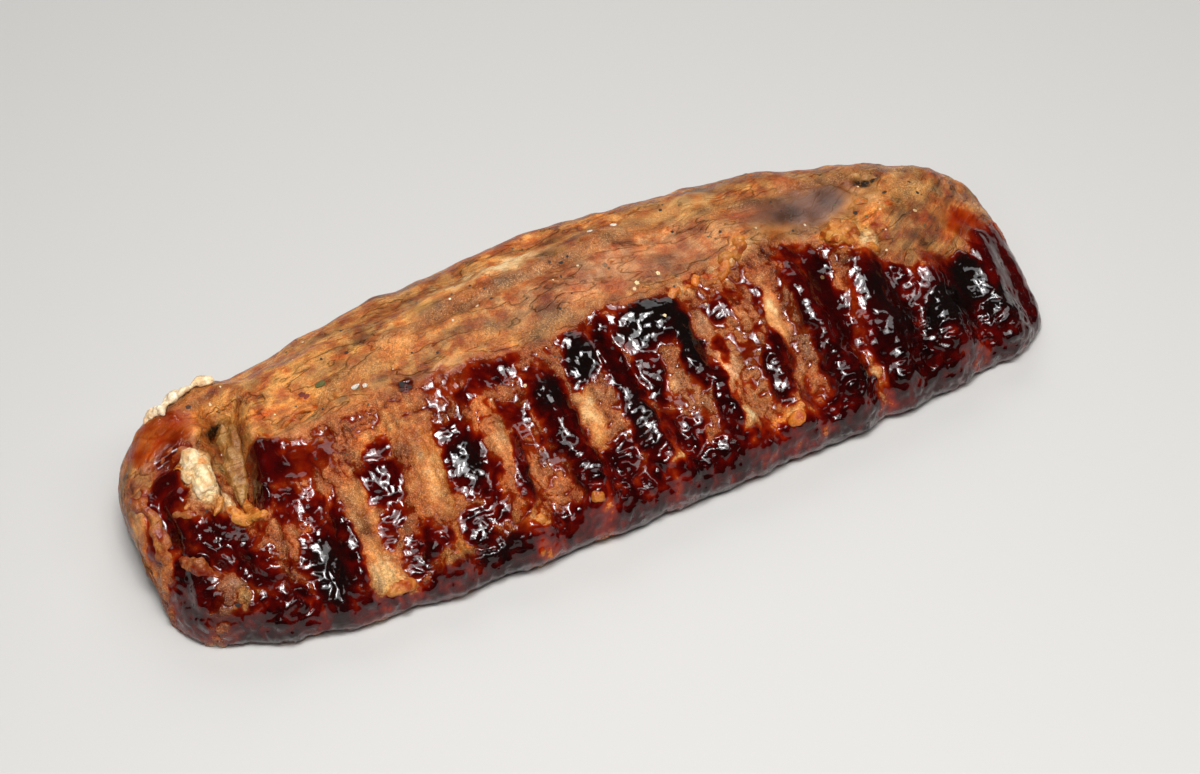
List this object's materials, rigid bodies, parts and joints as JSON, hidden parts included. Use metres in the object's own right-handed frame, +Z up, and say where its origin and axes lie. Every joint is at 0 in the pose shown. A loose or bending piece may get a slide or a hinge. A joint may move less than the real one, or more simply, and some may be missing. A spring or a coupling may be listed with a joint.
{
  "type": "rack of ribs",
  "caption": "Cooked rack of back ribs lying meat side up: one arched slab with rib ridges along the near edge, a thick loin side and a dark sticky glaze.",
  "frame": {"origin": "centre of the bounding box's foot, on the surface the rack lies on", "axes": "+X along the rack, with the torn end at -X; +Y from the rib edge to the thick loin edge; +Z up, out of the meat side"},
  "size_m": [0.341, 0.1248, 0.0566],
  "materials": {
    "glazed_meat": "roasted pork under a wet, dark red-brown glaze"
  },
  "bodies": {
    "root": {"rib_rack": "glazed_meat"}
  },
  "joints": []
}
